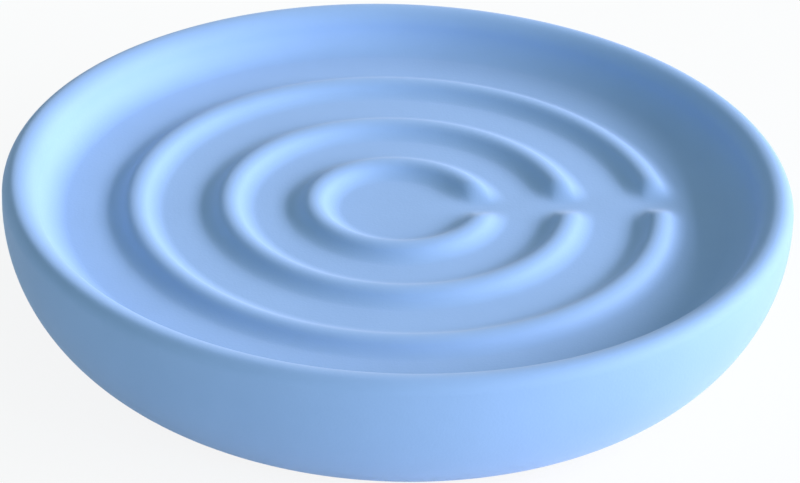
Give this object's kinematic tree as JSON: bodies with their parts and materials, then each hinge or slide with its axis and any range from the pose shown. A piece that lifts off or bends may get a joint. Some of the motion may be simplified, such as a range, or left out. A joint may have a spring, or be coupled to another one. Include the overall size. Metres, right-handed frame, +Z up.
{
  "type": "soap dish",
  "caption": "Round ceramic soap dish with a shallow tray, rounded lip, concentric drip ridges broken by a radial drain channel, and soft feet under a hollow base.",
  "frame": {"origin": "under the middle of the dish, in the plane of the pads' undersides, where it stands", "axes": "+Z up through the tray, +X along the drain channel from the middle outward, +Y to its left"},
  "size_m": [0.12, 0.12, 0.025],
  "materials": {
    "lacquered_ceramic": "matt soft-touch lacquer, pastel blue",
    "soft_polythene": "natural white, satin",
    "clear_silicone": "milky clear, satin"
  },
  "bodies": {
    "root": {"dish_body": "lacquered_ceramic", "vent_plug": "soft_polythene", "foot_pad_1": "clear_silicone", "foot_pad_2": "clear_silicone", "foot_pad_3": "clear_silicone", "foot_pad_4": "clear_silicone"}
  },
  "joints": []
}
